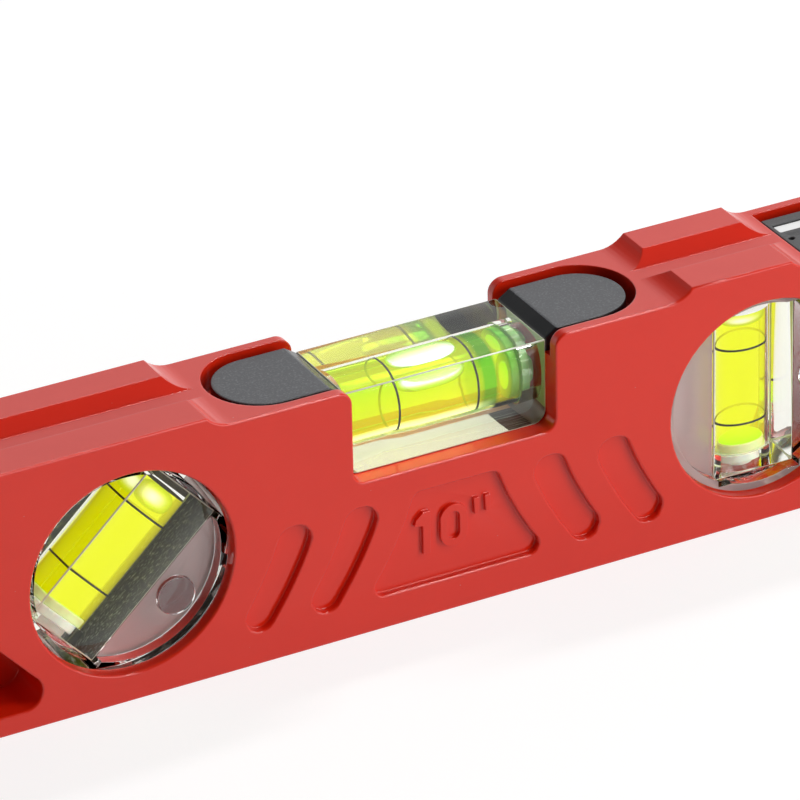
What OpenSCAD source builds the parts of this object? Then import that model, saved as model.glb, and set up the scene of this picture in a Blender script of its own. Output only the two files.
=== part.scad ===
/* [Body] */
// Length of the body
body_l = 254; // [240:1:300]
// Thickness of the body, front face to back face
body_t = 23.5; // [23:0.25:26]
// Height of the body over the two ridges
body_h = 48; // [47:0.5:52]
// Radius of the four corners at the ends, seen from the front
end_corner_r = 3; // [1:0.5:5]

/* [Ridges and groove] */
// Height of the ridges over the saddle between them
ridge_h = 2; // [1:0.25:2.5]
// Width of the front ridge's flat top
ridge_front_w = 7.5; // [6:0.25:8]
// Width of the back ridge's flat top
ridge_back_w = 6.75; // [5:0.25:7]
// Sideways run of each sloped wall of the groove
groove_wall_run = 3; // [2:0.25:3.25]
// Distance from the middle to where the ridges begin
ridge_start = 45; // [43.5:0.5:48]
// Length of the hollow ramp at the end of a ridge
ramp_run = 4.6; // [4:0.2:5]
// Length of the short ridges on the right
ridge_right_l = 19.1; // [17:0.1:21]

/* [Middle window] */
// Half the width of the window
window_half_w = 18.85; // [17:0.05:20]
// Depth of the middle block's top under the saddle
window_block_sink = 2.1; // [1:0.1:4]
// Radius of the window's lower corners
window_corner_r = 2.2; // [1:0.2:4]
// Radius that rounds the walls' top corners beside the window
window_lip_r = 2.5; // [1:0.5:3]

/* [Cap pockets and caps] */
// Distance from the middle to the centre of a cap's round end
cap_centre_x = 29.55; // [28:0.05:30]
// Radius of a cap's round end, half of its width
cap_r = 8.15; // [7:0.05:8.4]
// Gap between a cap and the rim of its pocket
cap_gap = 1.65; // [1:0.05:1.8]
// Depth of the cap's top under the rim of its pocket
cap_sink = 0.6; // [0.2:0.1:1]
// Depth of the pocket's floor under the rim
cap_pocket_depth = 4.6; // [3.5:0.2:6]
// Run of the slope on a cap's straight side
cap_slope_run = 2.25; // [0.5:0.05:2.5]

/* [Vials] */
// Width of the clear block in the middle window
block_w = 16.9; // [15:0.1:17]
// Thickness of the clear block in the middle window
block_t = 15.4; // [14:0.2:16]
// Length of the blocks in the round windows
round_block_l = 31.6; // [28:0.2:31.8]
// Width of the blocks in the round windows
round_block_w = 15.6; // [14.4:0.1:15.8]
// Thickness of the blocks in the round windows
round_block_t = 14; // [13:0.2:15]
// Radius of the bore that holds the spirit
bore_r = 5; // [4:0.1:5.5]
// Distance between the two ring lines of the middle vial
ring_pitch = 14.6; // [12:0.2:16]
// Distance between the two ring lines of the vials in the round windows
round_ring_pitch = 14.1; // [12:0.1:15]
// Width of a ring line
ring_w = 0.35; // [0.2:0.05:1]
// Thickness of the band that makes a ring line
ring_thick = 0.15; // [0.1:0.05:0.3]
// Length of the bubble
bubble_l = 13.4; // [9:0.2:14]
// Radius of the bubble's round ends
bubble_r = 2.4; // [2:0.1:2.8]
// Radius of the bubble at the top of the slanted vial
slanted_bubble_r = 4.2; // [3:0.1:4.5]
// Radius of the bubble at the top of the plumb vial
plumb_bubble_r = 4.5; // [3:0.1:4.6]
// Height of the bubble at the top of the plumb vial
plumb_bubble_h = 3; // [2:0.1:4]
// Radius of the rounded lower edge of that bubble
meniscus_r = 1.6; // [0.5:0.1:1.8]
// Depth of the middle plug's outer end under the end of its block
plug_sink = 0.7; // [0.2:0.1:1]
// The same depth in the round windows
round_plug_sink = 0.2; // [0.1:0.1:1]
// Radius of the foot at a plug's outer end
plug_foot_r = 3.85; // [3:0.05:4.5]
// Length of that foot
plug_foot_l = 1.2; // [0.6:0.1:1.6]
// Radius of the flange in the middle of a plug
plug_flange_r = 5.4; // [5.3:0.05:6]
// Thickness of the flange
plug_flange_l = 1.6; // [1:0.1:2]
// Radius of the nose that reaches into the spirit
plug_nose_r = 4.5; // [3.5:0.1:4.6]
// Length of the nose
plug_nose_l = 1.6; // [1:0.1:2]
// Solid wall left at the closed end of a bore
blind_wall = 2.2; // [1.5:0.1:4]
// Play between a plug or the spirit and its bore
bore_play = 0.03; // [0.02:0.01:0.1]

/* [Round windows] */
// Distance between the centres of the two round windows
round_pitch = 118.4; // [117:0.2:122]
// Radius of the round windows
round_r = 18.3; // [18.2:0.05:18.5]
// Drop of their centres under half the height of the body
round_drop = 0.6; // [0:0.1:1]
// Depth of the clear holders' front edge under the face
holder_sink = 2; // [1:0.25:3]
// Play between a holder and its round window
holder_play = 0.15; // [0.1:0.05:0.3]
// Wall thickness of a holder's ring
holder_wall = 1.4; // [1:0.1:1.4]
// Depth of a holder's plate under its front edge
plate_sink = 2.2; // [1.5:0.1:3]
// Thickness of a holder's plate
plate_t = 1.6; // [1:0.2:2.4]
// How far the vials of the round windows lie in front of the middle of the body
vial_forward = 0.7; // [0:0.1:1]
// Play between a block and the cut-out or window that it sits in
block_play = 0.1; // [0.05:0.05:0.2]
// Radius of the round post on a holder's plate
post_r = 3.4; // [2:0.2:3.6]
// Height of the round post
post_h = 1; // [0.4:0.2:1.4]
// Tilt of the slanted vial
slant_angle = 43; // [40:0.5:50]

/* [Face relief] */
// Depth of the relief under the face
relief_depth = 1.3; // [0.6:0.1:1.6]
// Height of the lower edge of the relief over the base
relief_z = 6.2; // [5:0.2:7]
// Solid height between the top of the relief and the window's floor
relief_roof = 4.6; // [3:0.1:8]
// Lean of the relief's sides at their top
relief_lean = 0.34; // [0.3:0.02:0.4]
// Bow of the relief's sides
relief_bow = 0.0105; // [0:0.0005:0.011]
// Half the width of the size panel at its top
panel_half_w = 7.7; // [7.4:0.1:9]
// Distance from the middle to the first slanted slot at its top
slot_start = 13.5; // [12.5:0.1:13.8]
// Width of a slanted slot
slot_w = 6.5; // [6.2:0.1:7]
// Distance from one slanted slot to the next
slot_pitch = 12.2; // [11.5:0.1:12.4]
// Number of slanted slots on each side
slot_count = 2; // [1:1:2]
// Radius of the slots' corners
slot_corner_r = 2.6; // [1:0.1:2.6]
// Radius of the panel's corners
panel_corner_r = 1.8; // [1:0.1:2.4]

/* [Size mark] */
// Height of the numerals
digit_h = 7.9; // [7:0.1:9]
// Width of the nought
digit_w = 5; // [4.6:0.1:6]
// Width of the numerals' strokes
digit_stroke = 1.4; // [1.2:0.1:1.8]
// Clear height between the numerals and the top of the panel
digit_drop = 4.4; // [3:0.1:6]
// Distance from the middle of the nought to the left side of the one
digit_pitch = 5.8; // [5:0.1:6.2]
// Distance from the middle of the nought to the middle of the first inch mark
inch_pitch = 4.3; // [3.8:0.1:5]
// Distance between the two inch marks
inch_gap = 2.1; // [1.6:0.1:2.4]
// Length of the inch marks
inch_h = 3; // [2:0.1:4]

/* [End recesses] */
// Depth of the recesses in both faces at each end
recess_depth = 9; // [5:0.5:9.5]
// Height of a recess's lower edge over the base
recess_z = 3.7; // [3:0.1:6]
// Height of a recess
recess_h = 27; // [20:1:30]
// Distance from the middle to the recess's sharp inner corner
recess_start = 72.1; // [71:0.1:75]
// Slope of the recess's inner side, in degrees
recess_slope = 47.5; // [45:0.5:60]
// Solid wall between a recess and the end of the body
recess_end_wall = 8; // [5:0.5:12]
// Radius of a recess's corners
recess_corner_r = 3.2; // [2:0.2:4]

/* [Top insert] */
// Distance from the foot of the right ramp to the pocket of the top insert
insert_lead = 0.3; // [0.2:0.1:4]
// Solid length between the pocket and the end of the body
insert_end_wall = 18.3; // [14:0.1:25]
// Depth of the pocket
insert_pocket_depth = 5; // [3:0.5:6]
// Gap between the insert and the long sides of its pocket
insert_gap = 1.75; // [0.5:0.05:2]
// Gap between the insert and the ends of its pocket
insert_end_gap = 0.8; // [0.3:0.1:1.5]
// Depth of the insert's top under the rim
insert_sink = 0.6; // [0.3:0.1:1]
// Width of the groove along the insert
strip_groove_w = 2.8; // [1.6:0.1:3]
// Depth of that groove
strip_groove_depth = 1.3; // [1.1:0.1:2]
// Distance from the insert's back edge to the groove
strip_groove_inset = 2.4; // [1:0.1:3]
// Distance from each end of the insert to the groove
strip_end = 0.8; // [0.5:0.1:3]
// Thickness of the bright strip in the groove
strip_t = 1; // [0.4:0.1:1]
// Play of the strip in its groove
strip_play = 0.2; // [0.1:0.05:0.3]
// Radius of the small hole in the insert
insert_hole_r = 0.5; // [0.3:0.1:0.7]
// Distance from the insert's left end to the small hole
insert_hole_x = 1.3; // [1.2:0.1:8]

/* [Hidden] */
$fn = 96;
// Length by which a cutter runs past the face it cuts
past = 1;
// Steps along a bowed side and round a relief corner
side_steps = 6;
corner_steps = 5;
saddle_z = body_h - ridge_h;
front_y = -body_t / 2;
cap_top_z = saddle_z - cap_sink;
cap_seat_z = saddle_z - cap_pocket_depth;
cap_pocket_r = cap_r + cap_gap;
block_top_z = saddle_z - window_block_sink;
window_floor_z = block_top_z - block_t;
middle_block_l = 2 * (window_half_w - block_play);
insert_wall = body_t / 2 - cap_pocket_r;
insert_start = ridge_start + ridge_right_l + ramp_run + insert_lead;
insert_pocket_l = body_l / 2 - insert_end_wall - insert_start;
insert_seat_z = saddle_z - insert_pocket_depth;
insert_top_z = saddle_z - insert_sink;
insert_x = insert_start + insert_end_gap;
insert_l = insert_pocket_l - 2 * insert_end_gap;
insert_w = body_t - 2 * insert_wall - 2 * insert_gap;
strip_groove_y = insert_w / 2 - strip_groove_inset - strip_groove_w;
round_z = body_h / 2 - round_drop;
relief_h = window_floor_z - relief_roof - relief_z;
digit_z = relief_z + relief_h - digit_drop - digit_h;
// Length of a plug's foot and flange, which sit in the wider end of the bore
plug_seat_l = plug_foot_l + plug_flange_l;
// How far the middle of the ring lines lies from the middle of each vial's block, and their places
middle_ring_shift = 0;
slanted_ring_shift = 1.3;
plumb_ring_shift = -0.1;
middle_rings = [middle_ring_shift - ring_pitch / 2, middle_ring_shift + ring_pitch / 2];
slanted_rings = [slanted_ring_shift - round_ring_pitch / 2, slanted_ring_shift + round_ring_pitch / 2];
plumb_rings = [plumb_ring_shift - round_ring_pitch / 2, plumb_ring_shift + round_ring_pitch / 2];
middle_block_size = [middle_block_l, block_w, block_t];
round_block_size = [round_block_l, round_block_w, round_block_t];

// Run of a bowed relief side from its top down to depth u
function side_run(u) = relief_lean * u + relief_bow * u * u;

function unit(v) = v / norm(v);

// Points of a round corner of radius r at p, between the directions of a and b
function corner(p, a, b, r) =
    let (
        to_a = unit(a - p),
        to_b = unit(b - p),
        half = acos(to_a * to_b) / 2,
        centre = p + r / sin(half) * unit(to_a + to_b),
        start = p + r / tan(half) * to_a - centre,
        stop = p + r / tan(half) * to_b - centre
    )
    [
        for (i = [0 : corner_steps])
            let (share = i / corner_steps)
            centre + r * unit((1 - share) * start + share * stop)
    ];

// Points down the middle part of a bowed side that starts at x and leans to the given hand
function side(x, hand) = [
    for (i = [1 : side_steps - 1])
        let (u = relief_h * (0.15 + 0.7 * i / side_steps))
        [x + hand * side_run(u), relief_z + relief_h - u]
];

function reversed(list) = [for (i = [len(list) - 1 : -1 : 0]) list[i]];

// Outline of a relief recess between a left and a right side, each with its lean to left or right
function relief_outline(x_left, hand_left, x_right, hand_right, r) =
    let (
        top = relief_z + relief_h,
        tl = [x_left, top],
        tr = [x_right, top],
        bl = [x_left + hand_left * side_run(relief_h), relief_z],
        br = [x_right + hand_right * side_run(relief_h), relief_z],
        left = side(x_left, hand_left),
        right = side(x_right, hand_right)
    )
    concat(
        corner(tl, tr, left[0], r), left, corner(bl, left[side_steps - 2], br, r),
        corner(br, bl, right[side_steps - 2], r), reversed(right), corner(tr, right[0], tl, r)
    );

// Extrudes an outline drawn in X and Z from the front face into the body
module into_front(depth) {
    translate([0, front_y + depth, 0])
        rotate([90, 0, 0])
            linear_extrude(depth + past) children();
}

// Extrudes an outline drawn in X and Z right through the body
module through_body() {
    translate([0, body_t / 2 + past, 0])
        rotate([90, 0, 0])
            linear_extrude(body_t + 2 * past) children();
}

// Repeats a feature of the front face on the back face
module on_both_faces() {
    for (turn = [0, 180])
        rotate([0, 0, turn]) children();
}

// Bar between the ends x0 and x1, with a flat top and sloped walls to the groove
module ridge_pair(x0, x1) {
    low = saddle_z - past;
    foot = groove_wall_run * (1 + past / ridge_h);
    translate([x0, 0, 0])
        rotate([90, 0, 90])
            linear_extrude(x1 - x0) {
                polygon([
                    [front_y, low], [front_y + ridge_front_w + foot, low],
                    [front_y + ridge_front_w, body_h], [front_y, body_h]
                ]);
                polygon([
                    [-front_y, low], [-front_y, body_h],
                    [-front_y - ridge_back_w, body_h], [-front_y - ridge_back_w - foot, low]
                ]);
            }
}

// Cutter for the hollow ramp whose foot is at x
module ramp_cutter(x) {
    ramp_r = (ramp_run * ramp_run + ridge_h * ridge_h) / (2 * ridge_h);
    translate([x, 0, saddle_z + ramp_r])
        rotate([90, 0, 0])
            cylinder(r = ramp_r, h = body_t + 2 * past, center = true);
}

// Ridges, from the left end to the middle and again on the right
module ridges() {
    difference() {
        ridge_pair(-body_l / 2, -ridge_start + ramp_run);
        ramp_cutter(-ridge_start + ramp_run);
    }
    difference() {
        ridge_pair(ridge_start - ramp_run, ridge_start + ridge_right_l + ramp_run);
        ramp_cutter(ridge_start - ramp_run);
        ramp_cutter(ridge_start + ridge_right_l + ramp_run);
    }
}

// Outline of the body seen from the front, with round corners
module body_outline() {
    r = end_corner_r;
    difference() {
        translate([-body_l / 2, 0]) square([body_l, body_h]);
        for (hand = [-1, 1], top = [0, 1])
            translate([hand * (body_l / 2 - r), top == 1 ? body_h - r : r])
                difference() {
                    translate([hand > 0 ? 0 : -r - past, top == 1 ? 0 : -r - past])
                        square(r + past);
                    circle(r);
                }
    }
}

// Window with round lower corners, its upper corners rounded outwards into the top of the body
module window_outline() {
    r = window_corner_r;
    translate([-window_half_w, window_floor_z + r])
        square([2 * window_half_w, body_h - window_floor_z]);
    translate([-window_half_w + r, window_floor_z])
        square([2 * (window_half_w - r), body_h - window_floor_z]);
    for (hand = [-1, 1]) {
        translate([hand * (window_half_w - r), window_floor_z + r]) circle(r);
        translate([hand * (window_half_w + window_lip_r), saddle_z - window_lip_r])
            difference() {
                translate([hand > 0 ? -window_lip_r : 0, 0]) square(window_lip_r);
                circle(window_lip_r);
            }
    }
}

// Round-ended outline of radius r from the window out to a cap's centre
module cap_outline(r) {
    translate([cap_centre_x, 0]) circle(r);
    translate([window_half_w, -r]) square([cap_centre_x - window_half_w, 2 * r]);
}

// Numeral one, with its flag
module digit_one() {
    square([digit_stroke, digit_h]);
    polygon([
        [-digit_stroke * 1.15, digit_h * 0.72], [digit_stroke / 2, digit_h * 0.65],
        [digit_stroke / 2, digit_h], [0, digit_h], [-digit_stroke * 0.9, digit_h * 0.85]
    ]);
}

// Nought, as two round ends and their sides
module digit_nought() {
    module loop(r, straight) {
        for (hand = [-1, 1])
            translate([0, digit_h / 2 + hand * straight / 2]) circle(r);
        translate([-r, (digit_h - straight) / 2]) square([2 * r, straight]);
    }
    straight = digit_h - digit_w;
    difference() {
        loop(digit_w / 2, straight);
        loop(digit_w / 2 - digit_stroke, straight);
    }
}

// Inch marks, two short strokes that narrow downwards
module inch_marks() {
    top_w = digit_stroke * 0.75;
    foot_w = digit_stroke * 0.55;
    for (x = [0, inch_gap])
        translate([x, digit_h - inch_h])
            polygon([[-foot_w / 2, 0], [foot_w / 2, 0], [top_w / 2, inch_h], [-top_w / 2, inch_h]]);
}

// Size mark of the level, centred in its panel
module size_mark() {
    nought_x = (digit_pitch - inch_pitch - inch_gap) / 2;
    translate([nought_x, digit_z]) {
        translate([-digit_pitch, 0]) digit_one();
        digit_nought();
        translate([inch_pitch, 0]) inch_marks();
    }
}

// Panel with the raised size mark, and the slanted slots on both sides of it
module face_relief() {
    into_front(relief_depth)
        difference() {
            polygon(relief_outline(-panel_half_w, -1, panel_half_w, 1, panel_corner_r));
            size_mark();
        }
    for (hand = [-1, 1], i = [0 : slot_count - 1]) {
        x = slot_start + i * slot_pitch;
        mirror([hand > 0 ? 0 : 1, 0, 0])
            into_front(relief_depth)
                polygon(relief_outline(x, 1, x + slot_w, 1, slot_corner_r));
    }
}

// Recess near the right end, with a sloped side along the round window
module end_recess_outline() {
    r = recess_corner_r;
    outer_x = body_l / 2 - recess_end_wall;
    inner_top_x = recess_start + recess_h / tan(recess_slope);
    // Centres of the corner circles: each lies a radius inside both sides that meet there
    near = [recess_start + r / tan(recess_slope / 2), recess_z + r];
    high = [inner_top_x + r * tan(recess_slope / 2), recess_z + recess_h - r];
    slope_out = [-sin(recess_slope), cos(recess_slope)];
    for (c = [near, high, [outer_x - r, recess_z + r], [outer_x - r, recess_z + recess_h - r]])
        translate(c) circle(r);
    // The sloped side runs a hair inside the circles' tangent, so that it crosses them cleanly
    inside_r = r - 0.02;
    polygon([
        near + inside_r * slope_out, high + inside_r * slope_out, high + [0, r],
        [outer_x - r, recess_z + recess_h], [outer_x, recess_z + recess_h - r],
        [outer_x, recess_z + r], [outer_x - r, recess_z], near - [0, r]
    ]);
}

module body() {
    color("firebrick")
        difference() {
            union() {
                intersection() {
                    translate([0, body_t / 2, 0])
                        rotate([90, 0, 0])
                            linear_extrude(body_t) body_outline();
                    translate([-body_l / 2, front_y, 0]) cube([body_l, body_t, saddle_z]);
                }
                intersection() {
                    translate([0, body_t / 2, 0])
                        rotate([90, 0, 0])
                            linear_extrude(body_t) body_outline();
                    ridges();
                }
            }
            through_body() window_outline();
            for (hand = [0, 1])
                mirror([hand, 0, 0])
                    translate([0, 0, cap_seat_z])
                        linear_extrude(cap_pocket_depth + past) cap_outline(cap_pocket_r);
            for (hand = [-1, 1])
                translate([hand * round_pitch / 2, 0, round_z])
                    rotate([90, 0, 0])
                        cylinder(r = round_r, h = body_t + 2 * past, center = true);
            translate([insert_start, front_y + insert_wall, insert_seat_z])
                cube([insert_pocket_l, body_t - 2 * insert_wall, insert_pocket_depth + past]);
            on_both_faces() {
                face_relief();
                for (hand = [0, 1])
                    mirror([hand, 0, 0])
                        into_front(recess_depth) end_recess_outline();
            }
        }
}

// Cap on the right, its straight side sloped down to the top of the block
module cap() {
    difference() {
        translate([0, 0, cap_seat_z])
            linear_extrude(cap_top_z - cap_seat_z) cap_outline(cap_r);
        translate([0, cap_r + past, 0])
            rotate([90, 0, 0])
                linear_extrude(2 * (cap_r + past))
                    polygon([
                        [window_half_w - past, block_top_z], [window_half_w, block_top_z],
                        [window_half_w + cap_slope_run, cap_top_z],
                        [window_half_w + cap_slope_run, cap_top_z + past],
                        [window_half_w - past, cap_top_z + past]
                    ]);
    }
}

module left_cap() {
    color("dimgray") mirror([1, 0, 0]) cap();
}

module right_cap() {
    color("dimgray") cap();
}

// Low box in the top pocket, with a groove for the strip and a small hole
module top_insert() {
    color("darkslategray")
        difference() {
            translate([insert_x, -insert_w / 2, insert_seat_z])
                cube([insert_l, insert_w, insert_top_z - insert_seat_z]);
            translate([insert_x + strip_end, strip_groove_y, insert_top_z - strip_groove_depth])
                cube([insert_l - 2 * strip_end, strip_groove_w, strip_groove_depth + past]);
            translate([insert_x + insert_hole_x, 0, insert_seat_z + past])
                cylinder(r = insert_hole_r, h = insert_pocket_depth);
        }
}

module insert_strip() {
    color("gainsboro")
        translate([
            insert_x + strip_end + strip_play, strip_groove_y + strip_play, insert_top_z - strip_groove_depth
        ])
            cube([insert_l - 2 * strip_end - 2 * strip_play, strip_groove_w - 2 * strip_play, strip_t]);
}

// Places for the three vials: local X runs along the vial, from its plug to its closed end
module in_middle() {
    translate([0, 0, window_floor_z + block_t / 2]) rotate([0, 0, 180]) children();
}

module in_slanted() {
    translate([-round_pitch / 2, 0, round_z]) rotate([0, -slant_angle, 0]) rotate([90, 0, 0]) children();
}

module in_plumb() {
    translate([round_pitch / 2, 0, round_z]) rotate([0, -90, 0]) rotate([90, 0, 0]) children();
}

// Moves a vial from the middle of its holder towards the front
module forward() {
    translate([0, 0, vial_forward]) children();
}

// Cylinder along local X between two places
module along(x0, x1, r) {
    translate([x0, 0, 0]) rotate([0, 90, 0]) cylinder(r = r, h = x1 - x0);
}

// Clear block of the given size, drilled from its plug end, with a wider bore for the plug's flange
module vial_block(size, sink) {
    start = -size[0] / 2 - past;
    difference() {
        translate(-size / 2) cube(size);
        along(start, size[0] / 2 - blind_wall, bore_r);
        along(start, -size[0] / 2 + sink + plug_seat_l, plug_flange_r + bore_play);
    }
}

// Stepped plug at the open end of a block of length l: foot, flange and nose
module vial_plug(l, sink) {
    x0 = -l / 2 + sink;
    along(x0, x0 + plug_foot_l, plug_foot_r);
    along(x0 + plug_foot_l, x0 + plug_seat_l, plug_flange_r);
    along(x0 + plug_seat_l, x0 + plug_seat_l + plug_nose_l, plug_nose_r);
}

// Spirit between the plug and the closed end, without its bubble and the seats of the ring lines
module vial_spirit(l, sink, ring_places) {
    r = bore_r - bore_play;
    x0 = -l / 2 + sink + plug_seat_l;
    difference() {
        along(x0, l / 2 - blind_wall, r);
        along(x0 - past, x0 + plug_nose_l + bore_play, plug_nose_r + bore_play);
        for (x = ring_places)
            translate([x - ring_w / 2, 0, 0])
                rotate([0, 90, 0])
                    difference() {
                        cylinder(r = bore_r + past, h = ring_w);
                        translate([0, 0, -past]) cylinder(r = r - ring_thick, h = ring_w + 2 * past);
                    }
        children();
    }
}

// Long bubble under the top wall of the middle vial
module long_bubble() {
    bubble_half = bubble_l / 2 - bubble_r;
    translate([0, 0, bore_r - bubble_r - 2 * ring_thick]) {
        along(-bubble_half, bubble_half, bubble_r);
        for (hand = [-1, 1])
            translate([hand * bubble_half, 0, 0]) sphere(bubble_r);
    }
}

// Round bubble at the upper end of the slanted vial, against the wall that lies higher
module slanted_bubble() {
    translate([round_block_l / 2 - blind_wall, bore_r - slanted_bubble_r - 2 * ring_thick, 0])
        sphere(slanted_bubble_r);
}

// Flat bubble across the top of the plumb vial, its lower edge rounded
module plumb_bubble() {
    flat_r = plumb_bubble_r - meniscus_r;
    translate([round_block_l / 2 - blind_wall - plumb_bubble_h, 0, 0])
        rotate([0, 90, 0])
            rotate_extrude() {
                square([flat_r, plumb_bubble_h + past]);
                translate([0, meniscus_r]) square([plumb_bubble_r, plumb_bubble_h - meniscus_r + past]);
                intersection() {
                    translate([flat_r, meniscus_r]) circle(meniscus_r);
                    translate([flat_r, 0]) square(meniscus_r);
                }
            }
}

// Thin band on the bore's wall that shows as a ring line
module vial_ring(x) {
    r = bore_r - bore_play;
    translate([x - ring_w / 2, 0, 0])
        rotate([0, 90, 0])
            difference() {
                cylinder(r = r, h = ring_w);
                translate([0, 0, -past]) cylinder(r = r - ring_thick, h = ring_w + 2 * past);
            }
}

// Clear block in the window, its lower edges rounded to clear the window's corners
module middle_block() {
    edge_r = window_corner_r + 2 * block_play;
    color("lightyellow", 0.5)
        difference() {
            in_middle() vial_block(middle_block_size, plug_sink);
            for (hand = [-1, 1])
                translate([hand * (middle_block_l / 2 - edge_r), 0, window_floor_z + edge_r])
                    rotate([90, 0, 0])
                        linear_extrude(block_w + 2 * past, center = true)
                            difference() {
                                translate([hand > 0 ? 0 : -edge_r - past, -edge_r - past])
                                    square(edge_r + past);
                                circle(edge_r);
                            }
        }
}

module middle_spirit() {
    color("greenyellow", 0.8) in_middle() vial_spirit(middle_block_l, plug_sink, middle_rings) long_bubble();
}

module middle_plug() {
    color("limegreen") in_middle() vial_plug(middle_block_l, plug_sink);
}

module middle_ring_left() {
    color("black") in_middle() vial_ring(middle_rings[1]);
}

module middle_ring_right() {
    color("black") in_middle() vial_ring(middle_rings[0]);
}

// Clear ring with a plate near its front, cut out for the block, and a round post on the plate
module holder(post_side) {
    outer_r = round_r - holder_play;
    inner_r = outer_r - holder_wall;
    depth = body_t - 2 * holder_sink;
    plate_z = depth / 2 - plate_sink;
    difference() {
        translate([0, 0, -depth / 2]) cylinder(r = outer_r, h = depth);
        translate([0, 0, plate_z]) cylinder(r = inner_r, h = depth);
        translate([0, 0, -depth / 2 - past]) cylinder(r = inner_r, h = depth / 2 + past + plate_z - plate_t);
        translate([-round_block_l / 2 - block_play, -round_block_w / 2 - block_play, -depth])
            cube([round_block_l + 2 * block_play, round_block_w + 2 * block_play, 2 * depth]);
    }
    translate([post_side, -(round_block_w / 2 + inner_r) / 2, plate_z]) cylinder(r = post_r, h = post_h);
}

module slanted_holder() {
    color("whitesmoke", 0.5) in_slanted() holder(post_h);
}

module slanted_block() {
    color("lightyellow", 0.5) in_slanted() forward() vial_block(round_block_size, round_plug_sink);
}

module slanted_spirit() {
    color("greenyellow", 0.8)
        in_slanted() forward() vial_spirit(round_block_l, round_plug_sink, slanted_rings) slanted_bubble();
}

module slanted_plug() {
    color("ivory") in_slanted() forward() vial_plug(round_block_l, round_plug_sink);
}

module slanted_ring_low() {
    color("black") in_slanted() forward() vial_ring(slanted_rings[0]);
}

module slanted_ring_high() {
    color("black") in_slanted() forward() vial_ring(slanted_rings[1]);
}

module plumb_holder() {
    color("whitesmoke", 0.5) in_plumb() holder(0);
}

module plumb_block() {
    color("lightyellow", 0.5) in_plumb() forward() vial_block(round_block_size, round_plug_sink);
}

module plumb_spirit() {
    color("greenyellow", 0.8)
        in_plumb() forward() vial_spirit(round_block_l, round_plug_sink, plumb_rings) plumb_bubble();
}

module plumb_plug() {
    color("ivory") in_plumb() forward() vial_plug(round_block_l, round_plug_sink);
}

module plumb_ring_low() {
    color("black") in_plumb() forward() vial_ring(plumb_rings[0]);
}

module plumb_ring_high() {
    color("black") in_plumb() forward() vial_ring(plumb_rings[1]);
}

body();
left_cap();
right_cap();
top_insert();
insert_strip();
middle_block();
middle_spirit();
middle_plug();
middle_ring_left();
middle_ring_right();
slanted_holder();
slanted_block();
slanted_spirit();
slanted_plug();
slanted_ring_low();
slanted_ring_high();
plumb_holder();
plumb_block();
plumb_spirit();
plumb_plug();
plumb_ring_low();
plumb_ring_high();
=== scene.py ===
"""Look of a ten-inch spirit level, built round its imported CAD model.

The body, the caps, the insert and the holders are copies of their CAD solids with rounded edges. The block,
spirit, bubble and plug of each vial are built here, so that they bend the light as the real ones do. Sizes
are in millimetres, apart from those of the lamps and the floor, which are in metres.
"""

import logging
import math
from dataclasses import dataclass, field
from enum import Enum, IntEnum
from typing import Callable, Iterable, Sequence

import bmesh
import bpy
from mathutils import Matrix, Quaternion, Vector


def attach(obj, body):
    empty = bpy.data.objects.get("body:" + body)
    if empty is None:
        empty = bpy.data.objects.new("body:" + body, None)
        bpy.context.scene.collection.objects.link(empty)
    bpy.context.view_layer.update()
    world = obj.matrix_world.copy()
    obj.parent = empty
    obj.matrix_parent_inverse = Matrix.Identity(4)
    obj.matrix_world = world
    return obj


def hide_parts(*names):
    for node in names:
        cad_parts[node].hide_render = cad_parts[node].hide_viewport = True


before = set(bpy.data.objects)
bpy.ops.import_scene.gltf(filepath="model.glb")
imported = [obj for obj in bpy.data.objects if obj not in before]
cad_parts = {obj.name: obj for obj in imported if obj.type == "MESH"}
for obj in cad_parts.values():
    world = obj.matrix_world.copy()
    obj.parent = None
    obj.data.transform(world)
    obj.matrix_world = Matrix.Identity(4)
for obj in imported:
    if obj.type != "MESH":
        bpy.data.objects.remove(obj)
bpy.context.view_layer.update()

LOG = logging.getLogger("spirit_level")
MM = 0.001
ROOT = "root"
NEAR = 0.01  # millimetres within which two places count as one
SQUARE_ON = 0.9  # least cosine of a face that looks a given way
BORE_POINTS = 128
Colour = tuple[float, float, float]
Mesh, Point = bmesh.types.BMesh, bmesh.types.BMVert
Piece, Material = bpy.types.Object, bpy.types.Material
Node, Socket = bpy.types.Node, bpy.types.NodeSocket


# Meshes


class Shading(Enum):
    """Least angle, in degrees, at which the edge between two faces of a piece stays sharp."""

    CAST = 10.0
    MACHINED = 30.0


class BlockFace(IntEnum):
    """Parts of a clear block's surface, in the order of its finishes."""

    CLEAR = 0
    BORE = 1
    PAINTED_SHADE_WITH_SCRATCHES = 2
    FILM = 3
    PAINTED_HIGHLIGHT_EDGE = 4
    SAWN = 5
    PAINTED_AMBER_LIGHT = 6
    PAINTED_BROWN_SHADE = 7


@dataclass(frozen=True)
class Seat:
    """Place of a vial: where its middle is, which way it runs and which way is across it.

    Attributes:
        origin: middle of the clear block.
        along: direction from the plug to the closed end.
        across: direction of the block's width.
    """

    origin: tuple[float, float, float]
    along: tuple[float, float, float]
    across: tuple[float, float, float]

    def matrix(self) -> Matrix:
        """Works out how the vial's own axes lie in the frame.

        Returns:
            The matrix from those axes to the frame, still in millimetres.
        """
        along, across = Vector(self.along).normalized(), Vector(self.across).normalized()
        turn = Matrix((along, across, along.cross(across))).transposed().to_4x4()
        return Matrix.Translation(Vector(self.origin)) @ turn


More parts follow.
